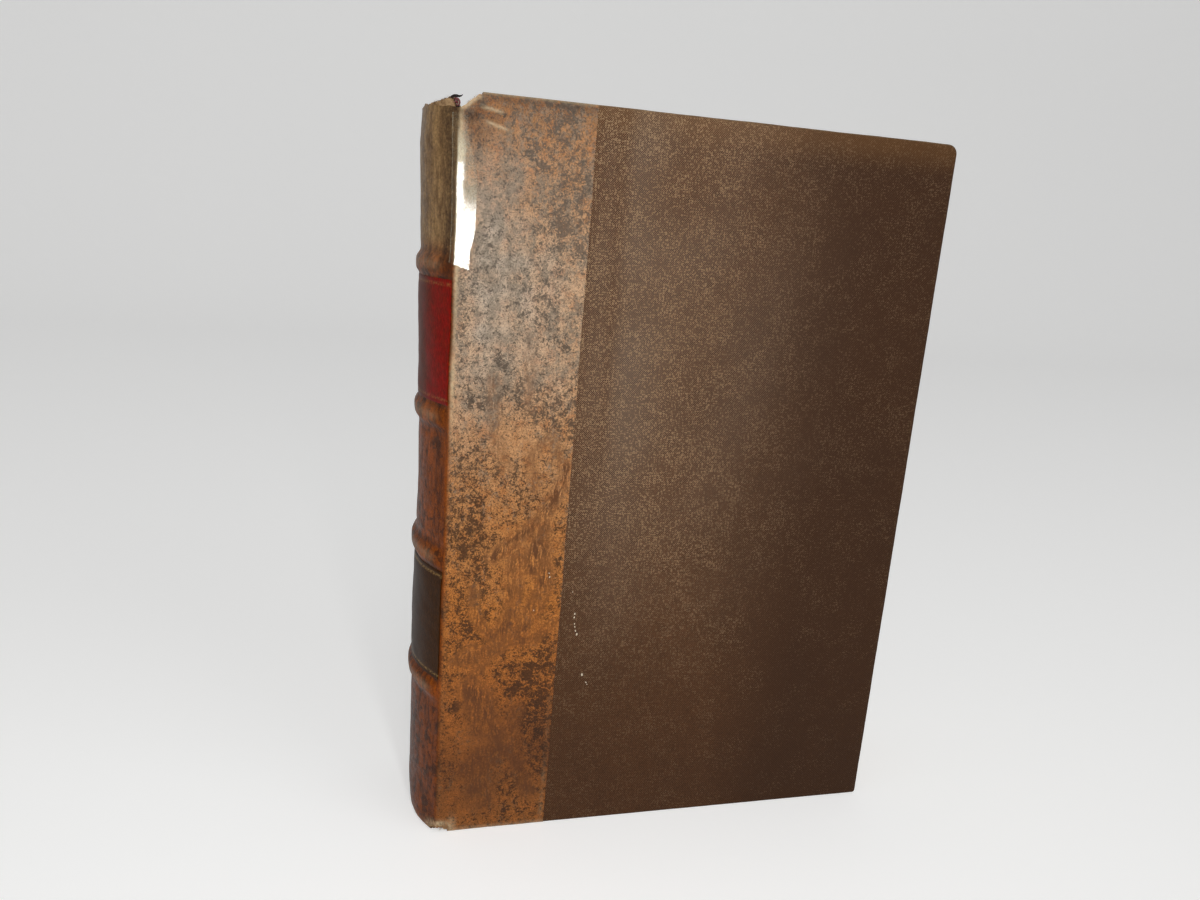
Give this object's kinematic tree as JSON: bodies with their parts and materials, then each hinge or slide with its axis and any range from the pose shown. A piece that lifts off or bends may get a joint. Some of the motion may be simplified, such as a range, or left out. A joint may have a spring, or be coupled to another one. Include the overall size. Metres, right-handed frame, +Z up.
{
  "type": "antique leather book",
  "caption": "Upright book in a quarter leather binding with cloth sides, a rounded spine with raised bands and hinged covers.",
  "frame": {"origin": "middle of the footprint, on the surface that the tail of the book stands on", "axes": "+X from the spine to the fore-edge, +Y from the front cover to the back cover, +Z up to the head"},
  "size_m": [0.1592, 0.0442, 0.225],
  "materials": {
    "pages": "matt, aged",
    "cords": "matt hemp cord",
    "lining": "matt",
    "card": "matt pressed card",
    "leather": "worn, waxed",
    "tan_leather": "mottled, worn",
    "cloth": "woven book cloth",
    "red_label": "thin, polished",
    "dark_label": "thin, polished",
    "silk": "silk over cord",
    "endpaper": "matt, aged",
    "tape": "clear, glossy"
  },
  "bodies": {
    "root": {"text_block": "pages", "sewing_cords": "cords", "spine_lining": "lining", "spine_card": "card", "raised_band_1": "card", "raised_band_2": "card", "raised_band_3": "card", "raised_band_4": "card", "spine_leather": "leather", "title_label": "red_label", "volume_label": "dark_label", "head_band": "silk", "tail_band": "silk", "front_flyleaf": "endpaper", "back_flyleaf": "endpaper"},
    "front_cover": {"front_board": "card", "front_leather": "tan_leather", "front_cloth": "cloth", "front_pastedown": "endpaper", "repair_tape": "tape"},
    "back_cover": {"back_board": "card", "back_leather": "tan_leather", "back_cloth": "cloth", "back_pastedown": "endpaper"}
  },
  "joints": [
    {"name": "front_joint", "type": "hinge", "parent": "root", "child": "front_cover", "pos_m": [-0.07125, -0.022, 0.1125], "axis": [0, 0, -1], "range_deg": [0, 170]},
    {"name": "back_joint", "type": "hinge", "parent": "root", "child": "back_cover", "pos_m": [-0.07125, 0.022, 0.1125], "axis": [0, 0, 1], "range_deg": [0, 170]}
  ]
}
